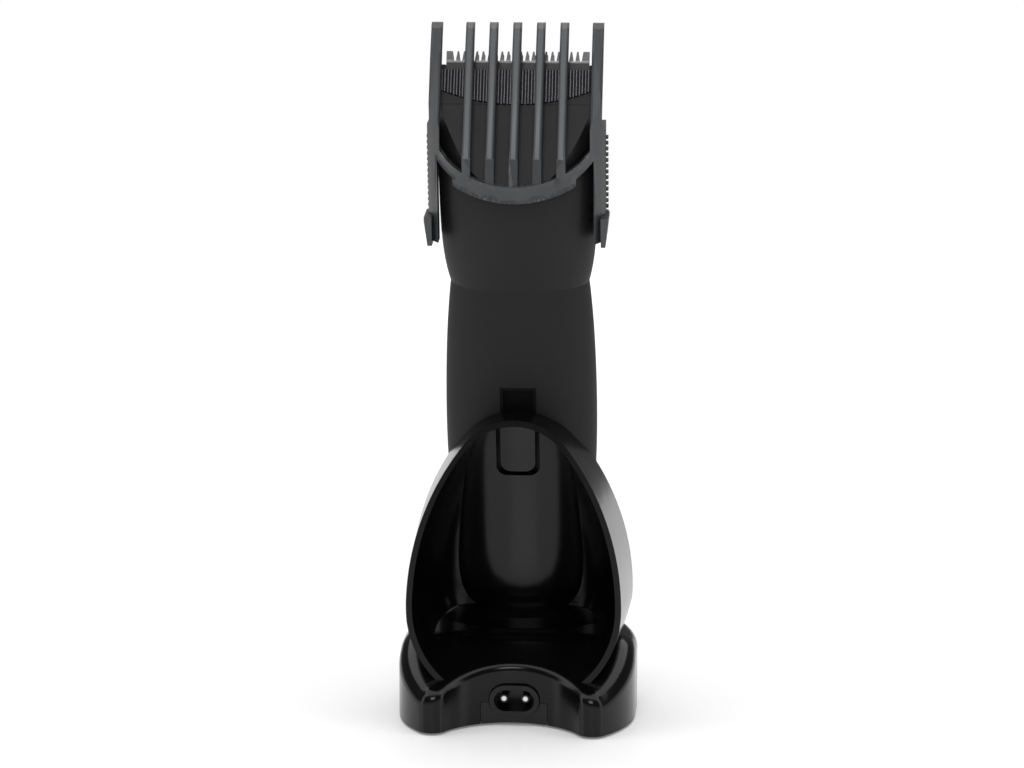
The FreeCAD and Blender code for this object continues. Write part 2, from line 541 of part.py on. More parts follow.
band_disc = opening("band_disc", "window_half + band_wide", "window_high + band_deep")
band_top = slab("band_top", "reach", "-reach", "window_z", "2 * reach", "reach")
middle_band = slab("middle_band", "crescent_half", "-reach", "comb_low", "reach", "reach")
side_arms = cut("side_arms", slab("arm_block", "reach", "-reach", "comb_low", "reach", "reach"),
                slab("arm_gap", "arm_half", "-reach", "comb_low", "reach", "reach"))
keep = join("keep", both("low_part", disc_low, middle_band), band_disc, band_top, side_arms)
window = opening("window", "window_half", "window_high")
window_top = slab("window_top", "window_half", "-reach", "window_z", "2 * reach", "reach")
comb_frame = cut("comb_frame", both("comb_band", comb_tube, keep), window, window_top)

TINE = [("-tine_foot", "-tine_low"), ("-tine_back", "-tine_bend"), ("-tine_ridge", "-tine_edge"),
        ("-tine_cheek", "tine_tip - tine_slant"), ("-tine_brow", "tine_tip - tine_drop"),
        ("-tine_chin", "tine_tip"), ("-tine_under", "tine_tip - tine_curl"),
        ("-tine_under", "-tine_heel"), ("-tine_sole", "-tine_toe")]


def tine(name, middle, wide):
    """One tooth of the comb, cut to the comb's oval at its root."""
    sketch = outline(name + "_line", TINE, SIDEWAYS, BLADE, x=middle)
    return extrude(name, sketch, f"({wide}) / 2", f"({wide}) / 2")


end_middle = "(end_tine_in + end_tine_out) / 2"
end_wide = "end_tine_out - end_tine_in"
tines = [tine(f"tine_{step}", f"({step} - (tine_count - 1) / 2) * tine_pitch", "tine_wide")
         for step in range(int(dim.tine_count))]
tines += [tine("tine_left", f"-({end_middle})", end_wide), tine("tine_right", end_middle, end_wide)]
tine_limit = oval("tine_limit", "comb_wide", "comb_back", "comb_low", "comb_high + reach / 2")

# A row of fine ribs on each arm, over a thumb tab with a ledge.
clicks = []
for side, start in (("left", "-comb_half - click_proud"), ("right", "comb_half - click_root")):
    for step in range(int(dim.click_count)):
        clicks.append(box(f"click_{side}_{step}", start, "comb_edge - click_deep",
                          f"click_low + {step} * click_pitch", "click_root + click_proud", "click_deep",
                          "click_wide"))
TAB = [("comb_half - tab_root", "tab_low"), ("comb_half + tab_ledge", "tab_low"),
       ("tab_half", "tab_high - tab_thick"), ("tab_half", "tab_high"), ("comb_half - tab_root", "tab_high")]
tabs = []
for side, sign in (("left", "-1"), ("right", "1")):
    points = [(f"{sign} * ({across})", up) for across, up in TAB]
    sketch = outline(f"tab_line_{side}", points, UPRIGHT, y="comb_edge - tab_back")
    tabs.append(extrude(f"tab_{side}", sketch, "tab_deep"))
tines_cut = both("tines_cut", join("tines", *tines), tine_limit)
comb = join("comb_part", comb_frame, tines_cut, *clicks, *tabs)
piece("comb", comb, CLIPPER)

# ---------------------------------------------------------------- stand: shape of the base
def base_block(name, inset, top):
    """The base's outline, a long round-ended form, from its foot up to a height."""
    high = f"({top}) - base_foot"
    radius = f"base_radius - ({inset})"
    return join(name, rod(name + "_rear", radius, high, 0, 0, "base_foot"),
                rod(name + "_front", radius, high, 0, "base_long", "base_foot"),
                slab(name + "_middle", radius, "0", "base_foot", "base_long", high))


def above_slope(name, drop="0"):
    """The space above the slanted top of the base's rear half."""
    tall = f"placement(vector(0; horn_y; horn_z - ({drop})); rotation(vector(1; 0; 0); slope))"
    return slab(name, "reach", "-reach", "0", "2 * reach", "2 * reach", tall)


def notch(name, grow, top):
    return rod(name, f"notch_radius + ({grow})", top, 0, "notch_y", 0)


base_rough = cut("base_rough", base_block("base_block", "0", "base_top"),
                 notch("base_notch", "0", "reach"))


def horn_edges(edge):
    """The upright edges where the notch meets the round end."""
    low, high = edge.BoundBox.ZMin, edge.BoundBox.ZMax
    upright = high - low > dim.base_top / 2 and edge.BoundBox.DiagonalLength - (high - low) < TINY
    return (dim.horn_round, dim.horn_round) if upright and edge.CenterOfMass.y < dim.horn_y / 2 else None


base_horned = rounded("base_horned", base_rough, horn_edges)
base_sloped = cut("base_sloped", base_horned, above_slope("slope_cut"))


def brow_edges(edge):
    """The crossing edge between the slanted and the level top."""
    middle = edge.CenterOfMass
    crossing = abs(middle.x) < TINY and edge.BoundBox.YLength < TINY
    crossing = crossing and edge.BoundBox.ZMin > dim.base_top - TINY
    return (dim.brow_round, dim.brow_round) if crossing else None


base_smooth = rounded("base_smooth", base_sloped, brow_edges)


def top_edges(edge):
    """The whole top rim, rounder outside than on the lip of the notch, each end with its own radius."""
    frame = edge.BoundBox
    crossing = frame.XLength > dim.base_radius and abs(edge.CenterOfMass.x) < TINY and frame.YLength < TINY
    upright = frame.ZLength > dim.base_top / 2 and frame.YLength < dim.edge_round
    low = frame.ZMin < dim.horn_z / 2
    across = frame.YLength < TINY and frame.ZLength < TINY
    if low or upright or crossing or across:
        return None
    ends = [edge.valueAt(edge.FirstParameter), edge.valueAt(edge.LastParameter)]
    inside = [math.hypot(end.x, end.y - dim.notch_y) < dim.notch_radius + dim.run_gap for end in ends]
    return tuple(dim.lip_round if lip else dim.edge_round for lip in inside)


base_solid = rounded("base_solid", base_smooth, top_edges)

# ---------------------------------------------------------------- stand: back rest and its scoop
def arc(start, middle, end):
    return Part.Arc(FreeCAD.Vector(*start), FreeCAD.Vector(*middle), FreeCAD.Vector(*end)).toShape()


def line(start, end):
    return Part.LineSegment(FreeCAD.Vector(*start), FreeCAD.Vector(*end)).toShape()


def egg(side_grow, top_grow):
    """The back rest's pointed outline, its sides and its top each moved out by an amount."""
    half, top = dim.egg_half + side_grow, dim.egg_top + top_grow
    share = half / dim.egg_half
    crown, corner = dim.egg_round * share, dim.egg_corner * share
    middle = dim.egg_mid
    rise = top - crown - middle
    side = (half ** 2 + rise ** 2 - crown ** 2) / (2 * (half - crown))
    meet = math.atan2(rise, side - half)
    steep = meet / 2
    points = [(half - side + side * math.cos(angle), 0, middle + side * math.sin(angle))
              for angle in (0, steep, meet)]
    peak = (0, 0, top)
    shoulder = (crown * math.sin((math.pi / 2 - meet) / 2), 0,
                top - crown + crown * math.cos((math.pi / 2 - meet) / 2))
    right = [arc(*points), arc(points[2], shoulder, peak)]
    hub = half - corner
    diagonal = corner * math.sqrt(0.5)
    low = (hub, 0, middle - corner)
    right.insert(0, arc(low, (hub + diagonal, 0, middle - diagonal), points[0]))
    flip = FreeCAD.Matrix()
    flip.scale(-1, 1, 1)
    left = [edge.transformGeometry(flip) for edge in reversed(right)]
    bottom = line((-low[0], 0, low[2]), low)
    return Part.Wire(Part.__sortEdges__([bottom, *right, *left]))


def leaning(wire, y, tilt):
    """The outline moved to y on the table plane and leaned about that line."""
    wire.Placement = FreeCAD.Placement(
        FreeCAD.Vector(0, y, 0), FreeCAD.Rotation(FreeCAD.Vector(1, 0, 0), tilt))
    return wire


def lean_foot(depth):
    """Where a plane parallel to the clipper, at this depth in its frame, meets the table."""
    lean = math.radians(dim.lean)
    return dim.seat_y + (depth + dim.seat_z * math.sin(lean)) / math.cos(lean)


rest_solid = doc.addObject("Part::Feature", "rest_solid")
rest_edge = leaning(egg(dim.rest_grow, dim.rest_grow), lean_foot(dim.rest_front), dim.lean)
rest_solid.Shape = Part.makeLoft([leaning(egg(0, 0), dim.rim_y, -dim.rim_tilt), rest_edge], True, True)


def bowl_section(share):
    """One section of the scoop, from the rim at 0 to its deepest at 1."""
    turn = max(0, (share - dim.bowl_straight) / (1 - dim.bowl_straight))
    drawn = 1 - math.sqrt(1 - turn ** 2)
    tilt = -dim.rim_tilt + (dim.lean + dim.rim_tilt) * share
    foot = dim.rim_y + (lean_foot(-dim.bowl_deep) - dim.rim_y) * share
    wire = egg(-dim.rest_wall - dim.bowl_round * drawn, -dim.rest_wall - dim.bowl_drop * drawn)
    return leaning(wire, foot, tilt)


BOWL_SHARES = (-0.4, 0.1, 0.3, 0.5, 0.68, 0.83, 0.93, 1)
bowl_solid = doc.addObject("Part::Feature", "bowl_solid")
bowl_solid.Shape = Part.makeLoft([bowl_section(share) for share in BOWL_SHARES], True, False)

rest_trimmed = both("rest_trimmed", rest_solid, base_block("rest_outline", "0", "2 * reach"))
rest_upper = both("rest_upper", rest_trimmed, above_slope("rest_above"))
cup = bind(make("Ellipse", "cup_ring"), MajorRadius="cup_half", MinorRadius="cup_depth")
cup_wall = extrude("cup_wall", place(cup, 0, 0, "-cup_deep"), "cup_deep + cup_high")
solid_stand = join("solid_stand", base_solid, rest_upper, bind(cup_wall, Placement=CLIPPER))



def around_clipper(name, grow):
    """The room that the standing clipper and its lift take up, grown all round."""
    ring = bind(make("Ellipse", name + "_ring"), MajorRadius=f"belly_half + {grow}",
                MinorRadius=f"belly_depth + {grow}")
    above = extrude(name + "_above", place(ring, 0, 0, "belly_z"), "reach")
    return join(name, loft(name + "_lower", RESTING, f"+ {grow}"), above)


clipper_room = bind(around_clipper("clipper_room", "seat_gap"), Placement=CLIPPER)
web_bulge = bind(around_clipper("web_bulge", "seat_gap + web_wall"), Placement=CLIPPER)
scoop = cut("scoop", both("scoop_raw", bowl_solid, above_slope("scoop_floor")), web_bulge)
cavity_block = cut("cavity_block", base_block("cavity_rough", "base_wall", "base_top - base_wall"),
                   notch("cavity_notch", "base_wall", "reach"), above_slope("cavity_slope", "roof_wall"))

# Latch tongue in the web: free on three sides, hinged where it grows out of the web above.
tongue_tall = "tongue_high - tongue_low"


def tongue_block(name, grow, drop, rise):
    """An upright block through the web with its two lower corners rounded."""
    block = slab(name + "_block", f"tongue_half + {grow}", "-2 * belly_depth", f"tongue_low - {drop}",
                 "2 * belly_depth", f"{tongue_tall} + {drop} + {rise}")

    def lower_corners(edge):
        upright = edge.BoundBox.YLength > dim.belly_depth
        radius = dim.tongue_round
        return (radius, radius) if upright and edge.CenterOfMass.z < dim.tongue_low + radius else None

    return rounded(name, block, lower_corners)


tongue_hole = bind(tongue_block("tongue_hole", "tongue_gap", "tongue_gap", "0"), Placement=CLIPPER)
tongue_side = both("tongue_side", loft("tongue_web", RESTING, "+ seat_gap + web_wall"),
                   slab("tongue_behind", "reach", "-reach", "0", "reach", "reach"))
tongue_raw = both("tongue_raw", tongue_block("tongue_plate", "0", "0", "-tongue_root"), tongue_side)
tongue = cut("tongue", tongue_raw, loft("tongue_room", RESTING, "+ seat_gap"))

# Charging contacts under the clipper's foot: a block with two sprung pins.
block_hole = slab("block_hole", "block_half + fit_gap", "-block_depth - fit_gap", "block_low - past",
                  "2 * block_depth + 2 * fit_gap", "2 * past - block_low", CLIPPER)
plunger_spots = ("-plunger_x", "plunger_x")
plunger_bores = [rod(f"plunger_bore_{step}", "plunger_radius + run_gap / 2", "reach", x, 0,
                     "block_low - past") for step, x in enumerate(plunger_spots)]
block = cut("block", slab("block_solid", "block_half", "-block_depth", "block_low", "2 * block_depth",
                          "-block_low - seat_gap"), *plunger_bores)

# Mains inlet in the notch: an oblong ring with two pins, over the bottom plate's upright panel.
def oblong(name, radius, half, y, length):
    """An oblong block lying along y, centred on the inlet."""
    return join(name, rod(name + "_a", radius, length, f"{radius} - ({half})", y, "inlet_z", ALONG_Y),
                rod(name + "_b", radius, length, f"({half}) - ({radius})", y, "inlet_z", ALONG_Y),
                slab(name + "_c", f"({half}) - ({radius})", y, f"inlet_z - ({radius})", length,
                     f"2 * ({radius})"))


inlet_long = "inlet_back - inlet_front"
inlet_ring = oblong("inlet_ring", "inlet_high", "inlet_half", "inlet_front", inlet_long)
inlet_space = oblong("inlet_space", "inlet_high - inlet_wall", "inlet_half - inlet_wall",
                     "inlet_front - past", "inlet_deep + past")
inlet_hole = oblong("inlet_hole", "inlet_high + line_gap", "inlet_half + line_gap",
                    "inlet_front - inlet_clear", f"{inlet_long} + inlet_clear + inlet_room")
inlet_spots = list(enumerate(("-inlet_pin_x", "inlet_pin_x")))
inlet_pin_bores = [rod(f"inlet_pin_bore_{step}", "inlet_pin", "reach", x, "inlet_front", "inlet_z", ALONG_Y)
                   for step, x in inlet_spots]
inlet_key = slab("inlet_key", "key_half", "inlet_front - past",
                 "inlet_z + inlet_high - inlet_wall - key_root", "inlet_deep + past", "key_high")
inlet = cut("inlet", inlet_ring, inlet_space, inlet_key, *inlet_pin_bores)
inlet_pins = [rod(f"inlet_pin_{step}", "inlet_pin", "inlet_pin_long + inlet_pin_in", x,
                  "inlet_front + inlet_deep - inlet_pin_long + inlet_pin_set", "inlet_z", ALONG_Y)
              for step, x in inlet_spots]

panel_ring = cut("panel_ring", notch("panel_outer", "panel_wall", "panel_top"),
                 notch("panel_inner", "0", "reach"))
panel = both("panel", panel_ring,
             slab("panel_band", "panel_half", "notch_y", "base_foot", "reach", "panel_top"))
panel_hole = slab("panel_hole", "panel_half + line_gap", "notch_y", "0", "reach + notch_y",
                  "panel_top + line_gap")
panel_ward = cut("panel_ward", notch("panel_wide", "panel_wall + past", "reach"),
                 notch("panel_open", "-panel_open", "reach"))
panel_window = both("panel_window", panel_hole, panel_ward)
foot_spots = [(x, y) for x in ("-foot_x", "foot_x") for y in ("foot_rear", "foot_front")] + [("0", "0")]
stud_spots = [(x, y) for x in ("-plate_screw_x", "plate_screw_x")
              for y in ("plate_screw_rear", "plate_screw_front")]
plate_top = "base_foot + plate_thick"
plate_outline = cut("plate_outline", base_block("plate_block", "base_wall + fit_gap", plate_top),
                    notch("plate_notch", "base_wall + fit_gap", "reach"))
foot_pits = [rod(f"foot_pit_{step}", "foot_radius + fit_gap", "foot_high - base_foot", x, y, "base_foot")
             for step, (x, y) in enumerate(foot_spots)]
stud_bores = [rod(f"stud_bore_{step}", "screw_radius + fit_gap", "plate_screw_long * 2", x, y, "0")
              for step, (x, y) in enumerate(stud_spots)]
stud_sinks = [rod(f"stud_sink_{step}", "screw_head + fit_gap", "screw_cap", x, y, "0")
              for step, (x, y) in enumerate(stud_spots)]
posts = [rod(f"post_{across}_{along}", "post_radius", "mains_z - base_foot - plate_thick", x, y, plate_top)
         for across, x in enumerate(("post_inset - mains_half", "mains_half - post_inset"))
         for along, y in enumerate(("mains_back + post_inset", "mains_back + mains_long - post_inset"))]
plate_solid = join("plate_solid", plate_outline, panel, *posts)
plate = cut("plate", plate_solid, *foot_pits, *stud_bores, *stud_sinks, inlet_hole)

studs = [rod(f"stud_{step}", "stud_radius", "base_top - base_foot - plate_thick - past", x, y, plate_top)
         for step, (x, y) in enumerate(stud_spots)]
stud_room = both("stud_room", join("stud_group", *studs),
                 base_block("stud_limit", "base_wall / 2", "base_top - past"))
stud_cores = [rod(f"stud_core_{step}", "screw_radius + fit_gap",
                  "plate_screw_long + screw_cap + fit_gap", x, y, "0")
              for step, (x, y) in enumerate(stud_spots)]
housing_raw = cut("housing_raw", solid_stand, notch("low_notch", "0", "mouth_high"), cavity_block)
housing_solid = join("housing_solid", housing_raw, stud_room)
housing = cut("housing", housing_solid, scoop, clipper_room, tongue_hole, block_hole, inlet_hole,
              panel_window, *stud_cores)
piece("stand_housing", housing)
piece("latch_tongue", tongue, CLIPPER)
piece("contact_block", block, CLIPPER)
for side, x in (("left", "-plunger_x"), ("right", "plunger_x")):
    plunger = rod(f"plunger_{side}", "plunger_radius", "plunger_long", x, 0, "pin_rise - plunger_long")
    piece(f"charge_pin_{side}", plunger, CLIPPER)
piece("inlet_socket", inlet)
piece("inlet_pins", group("inlet_pin_pair", *inlet_pins))
piece("bottom_plate", plate)
piece("power_board", slab("mains_board", "mains_half", "mains_back", "mains_z", "mains_long", "mains_thick"))
board_top = "mains_z + mains_thick"
piece("transformer", box("core", "core_x", "core_y", board_top, "2 * core_half", "core_deep", "core_high"))
piece("capacitor", rod("can", "can_radius", "can_high", "can_x", "can_y", board_top))
feet = [rod(f"foot_{step}", "foot_radius", "foot_high", x, y, "0") for step, (x, y) in enumerate(foot_spots)]
piece("rubber_feet", group("feet", *feet))
plate_screws = []
for step, (x, y) in enumerate(stud_spots):
    head = rod(f"stud_cap_{step}", "screw_head", "screw_cap - base_foot", x, y, "base_foot")
    shank = rod(f"stud_shank_{step}", "screw_radius", "plate_screw_long", x, y, "screw_cap")
    plate_screws.append(join(f"stud_screw_{step}", head, shank))
piece("plate_screws", group("stud_screws", *plate_screws))

# ---------------------------------------------------------------- check and write
doc.recompute()
failed = [item.Name for item in doc.Objects if "Invalid" in item.State or "Error" in item.State]
unsound = [item.Label for item in pieces if item.Shape.isNull() or not item.Shape.isValid()]
if failed or unsound:
    raise RuntimeError(f"failed objects {failed}, unsound shapes {unsound}")
for item in pieces:
    item.Shape.exportStep(f"parts/{item.Label}.step")
    print(item.Label, round(item.Shape.Volume, 1), len(item.Shape.Solids))
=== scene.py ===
import math

import bpy
from mathutils import Matrix, Vector


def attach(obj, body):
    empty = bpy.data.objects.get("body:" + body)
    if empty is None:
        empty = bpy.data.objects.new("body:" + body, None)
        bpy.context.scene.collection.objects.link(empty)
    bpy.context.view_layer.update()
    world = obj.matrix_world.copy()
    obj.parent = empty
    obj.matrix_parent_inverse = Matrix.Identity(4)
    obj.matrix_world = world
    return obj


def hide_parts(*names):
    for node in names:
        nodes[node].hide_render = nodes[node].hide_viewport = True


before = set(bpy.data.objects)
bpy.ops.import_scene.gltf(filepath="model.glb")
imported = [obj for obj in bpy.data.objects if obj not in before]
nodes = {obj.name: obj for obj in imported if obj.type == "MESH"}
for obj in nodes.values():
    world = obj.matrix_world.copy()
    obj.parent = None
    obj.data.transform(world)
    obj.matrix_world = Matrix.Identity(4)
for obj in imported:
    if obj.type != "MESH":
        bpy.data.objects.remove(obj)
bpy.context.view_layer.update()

bpy.ops.object.select_all(action="DESELECT")

# ---------------------------------------------------------------- camera
# A long lens a metre away, a little above the clipper and a few degrees to its right.
aim = Vector((-0.0017, 0.0, 0.105))
turn, rise, reach = math.radians(4.7), math.radians(10.5), 1.0
back = Vector((math.sin(turn) * math.cos(rise), -math.cos(turn) * math.cos(rise), math.sin(rise)))
bpy.ops.object.camera_add(location=aim + back * reach)
camera = bpy.context.object
camera.rotation_euler = (-back).to_track_quat("-Z", "Y").to_euler()
camera.data.sensor_width = 36
camera.data.lens = 114.7
camera.data.clip_start = 0.01
camera.data.clip_end = 20
scene = bpy.context.scene
scene.camera = camera
scene.view_settings.view_transform = "Standard"


# ---------------------------------------------------------------- body of the clipper
# Two moulded halves and a tail cap in black nylon, sprayed with a soft-touch paint that has a fine
# eggshell grain, and screwed together from the back. The seams run down both sides.
class Wire:
    """A socket of a finish, so that what changes over a surface is written as sums."""

    def __init__(self, finish, socket):
        self.finish = finish
        self.socket = socket

    def maths(self, operation, first, second):
        return self.finish.maths(operation, first, second)

    def __add__(self, other):
        return self.maths("ADD", self, other)

    def __mul__(self, other):
        return self.maths("MULTIPLY", self, other)

    def __sub__(self, other):
        return self.maths("SUBTRACT", self, other)

    def __rsub__(self, other):
        return self.maths("SUBTRACT", other, self)

    def __gt__(self, other):
        return self.maths("GREATER_THAN", self, other)

    def __lt__(self, other):
        return self.maths("LESS_THAN", self, other)

    def __pow__(self, other):
        return self.maths("POWER", self, other)

    __radd__ = __add__
    __rmul__ = __mul__


class Finish:
    """A material: steady values on its shader, and nodes added one at a time."""

    def __init__(self, name, colour, roughness, **steady):
        self.material = bpy.data.materials.new(name)
        self.material.use_nodes = True
        self.tree = self.material.node_tree
        self.shader = self.tree.nodes["Principled BSDF"]
        self.shader.inputs["Base Color"].default_value = (*colour, 1)
        self.shader.inputs["Roughness"].default_value = roughness
        self.colour, self.roughness = colour, roughness
        for name, value in steady.items():
            self.shader.inputs[name.replace("_", " ")].default_value = value

    def put(self, socket, value):
        if isinstance(value, Wire):
            self.tree.links.new(value.socket, socket)
        else:
            socket.default_value = value

    def node(self, kind, settings=None, values=None, out=0):
        node = self.tree.nodes.new("ShaderNode" + kind)
        for setting, value in (settings or {}).items():
            if setting == "stops":
                ramp = node.color_ramp
                while len(ramp.elements) < len(value):
                    ramp.elements.new(0.5)
                for element, (place, shade) in zip(ramp.elements, value):
                    element.position = place
                    element.color = (*shade, 1) if isinstance(shade, tuple) else (shade, shade, shade, 1)
            else:
                setattr(node, setting, value)
        for socket, value in (values or {}).items():
            self.put(node.inputs[socket], value)
        return Wire(self, node.outputs[out])

    def place(self, scale=(1, 1, 1)):
        """Object coordinates in metres, stretched where a pattern is longer one way."""
        where = self.node("TexCoord", out=3)
        return where if scale == (1, 1, 1) else self.node("Mapping", values={"Vector": where, "Scale": scale})

    def along(self, axis):
        """One of the three object coordinates, as a number."""
        return self.node("SeparateXYZ", values={"Vector": self.place()}, out="XYZ".index(axis))

    def maths(self, operation, first, second):
        return self.node("Math", {"operation": operation}, {0: first, 1: second})

    def noise(self, scale, detail=2, roughness=0.5, stretch=(1, 1, 1)):
        return self.node("TexNoise", values={"Vector": self.place(stretch), "Scale": scale,
                                             "Detail": detail, "Roughness": roughness})

    def drive(self, socket, value):
        self.put(self.shader.inputs[socket], value)

    def bump(self, height, distance, strength=1.0):
        normal = self.node("Bump", values={"Height": height, "Distance": distance, "Strength": strength})
        self.drive("Normal", normal)

    def tint(self, mask, low, high):
        """A colour that goes from low to high as the mask goes from 0 to 1."""
        mixed = self.node("Mix", {"data_type": "RGBA"}, {0: mask, 6: (*low, 1), 7: (*high, 1)}, out=2)
        self.drive("Base Color", mixed)

    def moulded(self, spread, patch, grain, height, stretch=(1, 1, 1)):
        """Uneven colour and gloss in patches, and a fine grain of the given height, in metres."""
        cloud = self.noise(patch, 3, 0.6)
        low = tuple(part * (1 - spread) for part in self.colour)
        high = tuple(part * (1 + spread) for part in self.colour)
        self.tint(cloud, low, high)
        self.drive("Roughness", self.roughness * (1 - spread) + cloud * (2 * spread * self.roughness))
        self.bump(self.noise(grain, 2, 0.6, stretch), height, 0.6)
        return self

    def paint(self, *names):
        for name in names:
            item = nodes[name] if isinstance(name, str) else name
            item.data.materials.clear()
            item.data.materials.append(self.material)


soft_touch = Finish("soft_touch", (0.0095, 0.0095, 0.0102), 0.6, Specular_IOR_Level=0.2)
soft_touch.moulded(0.09, 60, 2600, 0.00006)
soft_touch.paint("rear_shell", "front_shell", "tail_cap")

# ---------------------------------------------------------------- recess in the back
# A plain tray let into the rear shell, with a slightly coarser spark-eroded floor, coloured near black,
# darker than the body: painted shade for the recess.
recess_lining = Finish("recess_lining", (0.0016, 0.0016, 0.0017), 0.6, Specular_IOR_Level=0.12)
recess_lining.moulded(0.15, 200, 1900, 0.00009)
recess_lining.paint("recess_tray")

# ---------------------------------------------------------------- head housing and cutting unit
# Black glass-filled nylon with a satin spark-eroded face. The unit's frame clips on over a rubber seal.
head_plastic = Finish("head_plastic", (0.0068, 0.0068, 0.0074), 0.46, Specular_IOR_Level=0.3)
head_plastic.moulded(0.1, 90, 3000, 0.00004)
head_plastic.paint("head_housing", "blade_base")
seal_rubber = Finish("seal_rubber", (0.012, 0.012, 0.012), 0.85).moulded(0.12, 300, 1200, 0.00008)
seal_rubber.paint("head_seal")

# ---------------------------------------------------------------- blades
# The fixed blade is ground and polished steel, the guard behind it is rolled steel with fine upright ribs,
# and the moving blade has grinding marks across its teeth.
ground_steel = Finish("ground_steel", (0.1, 0.1, 0.103), 0.3, Metallic=1.0)
ground_steel.moulded(0.22, 500, 1400, 0.00002, (0.05, 1, 1))
# Colour banded up the height: darker below the teeth, then a thin painted highlight line along the bevel,
# then mid grey teeth.
painted_highlight_band = ground_steel.node("ValToRGB", {"stops": [(0.0, 0.03), (0.4, 0.035), (0.44, 0.16), (0.5, 0.15),
                                                (0.54, 0.085), (1.0, 0.11)]},
                         {0: (ground_steel.along("Z") - 0.2) * 125.0})
ground_steel.drive("Base Color", painted_highlight_band)
ground_steel.paint("fixed_blade", "moving_blade")
guard_steel = Finish("guard_steel", (0.075, 0.075, 0.08), 0.36, Metallic=1.0)
guard_steel.moulded(0.2, 260, 1500, 0.00002, (1, 1, 0.06))
rib_pitch = 0.0009
# Guard colour is painted light: thin painted highlight lines every rib_pitch across x, over painted shade
# between them.
painted_rib_highlight = guard_steel.maths("COSINE", guard_steel.along("X") * (math.tau / rib_pitch), 0) * 0.5 + 0.5
guard_steel.tint(painted_rib_highlight ** 8, (0.011, 0.011, 0.012), (0.12, 0.12, 0.125))
guard_steel.paint("blade_guard")

# ---------------------------------------------------------------- power slider and light
# A thumb slide in glossy nylon on the front of the body, and a light pipe in frosted acrylic under it.
slider_plastic = Finish("slider_plastic", (0.03, 0.03, 0.032), 0.32).moulded(0.12, 150, 1600, 0.00005)
slider_plastic.paint("power_slider")
light_pipe = Finish("light_pipe", (0.62, 0.66, 0.64), 0.28).moulded(0.06, 700, 2500, 0.00003)
light_pipe.paint("status_light")

# ---------------------------------------------------------------- inside the body
# Moulded chassis, two sleeved cells joined by a nickel strip, and a glass-fibre board with a switch.
inner_frame = Finish("inner_frame", (0.05, 0.05, 0.052), 0.5).moulded(0.12, 80, 1200, 0.00006)
inner_frame.paint("chassis")
cell_wrap = Finish("cell_wrap", (0.02, 0.11, 0.2), 0.3, Coat_Roughness=0.1)
cell_wrap.moulded(0.12, 120, 900, 0.00005, (1, 1, 0.2))
cell_wrap.paint("battery_left", "battery_right")
nickel_strip = Finish("nickel_strip", (0.66, 0.63, 0.56), 0.3, Metallic=1.0)
nickel_strip.moulded(0.08, 400, 1500, 0.00003, (0.1, 1, 1)).paint("battery_link")
circuit_board = Finish("circuit_board", (0.01, 0.085, 0.035), 0.35)
tracks = circuit_board.node("TexBrick", values={"Vector": circuit_board.place(), "Scale": 160.0,
                                                "Mortar Size": 0.06})
circuit_board.drive("Base Color", circuit_board.node("Mix", {"data_type": "RGBA"}, {
    0: circuit_board.noise(420, 2) > 0.56, 6: (0.01, 0.085, 0.035, 1), 7: (0.02, 0.15, 0.06, 1)}, out=2))
circuit_board.bump(tracks, 0.00005, 0.7)
circuit_board.paint("main_board", "power_board")
switch_block = Finish("switch_block", (0.025, 0.025, 0.027), 0.42).moulded(0.1, 300, 1800, 0.00004)
switch_block.paint("board_switch")

# ---------------------------------------------------------------- motor and crank
# A drawn steel can round two magnets, a lacquered rotor on a ground shaft, and an acetal crank.
motor_steel = Finish("motor_steel", (0.5, 0.5, 0.48), 0.3, Metallic=1.0)
motor_steel.moulded(0.1, 120, 900, 0.00003, (1, 1, 0.08)).paint("motor_can")
magnet = Finish("magnet", (0.05, 0.048, 0.046), 0.6).moulded(0.2, 300, 900, 0.0001)
magnet.paint("motor_magnets")
motor_cap = Finish("motor_cap", (0.45, 0.42, 0.34), 0.5).moulded(0.08, 150, 1200, 0.00005)
motor_cap.paint("motor_end_cap")
rotor_iron = Finish("rotor_iron", (0.2, 0.19, 0.18), 0.45, Metallic=1.0)
rotor_iron.drive("Roughness", 0.35 + rotor_iron.noise(300, 2) * 0.2)
rotor_iron.bump(rotor_iron.node("TexWave", {"bands_direction": "Z"}, {"Vector": rotor_iron.place(),
                                                                      "Scale": 320.0}), 0.0001, 0.8)
rotor_iron.paint("motor_rotor")
shaft_steel = Finish("shaft_steel", (0.62, 0.62, 0.62), 0.16, Metallic=1.0)
shaft_steel.moulded(0.06, 600, 2500, 0.00001, (1, 1, 0.1)).paint("motor_shaft")
crank_plastic = Finish("crank_plastic", (0.7, 0.69, 0.64), 0.4).moulded(0.05, 200, 1400, 0.00004)
crank_plastic.paint("eccentric", "drive_yoke")

# ---------------------------------------------------------------- screws, springs and contacts
# Steel screws with a turned face, blade springs of hard-drawn wire, and gold-plated charging contacts.
steel_screw = Finish("steel_screw", (0.42, 0.42, 0.43), 0.28, Metallic=1.0)
steel_screw.moulded(0.12, 900, 2600, 0.00003).paint("shell_screws", "blade_screws", "plate_screws")
spring_steel = Finish("spring_steel", (0.4, 0.39, 0.37), 0.22, Metallic=1.0)
spring_steel.moulded(0.1, 700, 3000, 0.00001, (0.1, 1, 1)).paint("blade_springs")
gold_contact = Finish("gold_contact", (0.78, 0.56, 0.26), 0.22, Metallic=1.0)
gold_contact.moulded(0.07, 900, 2600, 0.00002).paint("charge_contacts", "charge_pin_left",
                                                       "charge_pin_right")

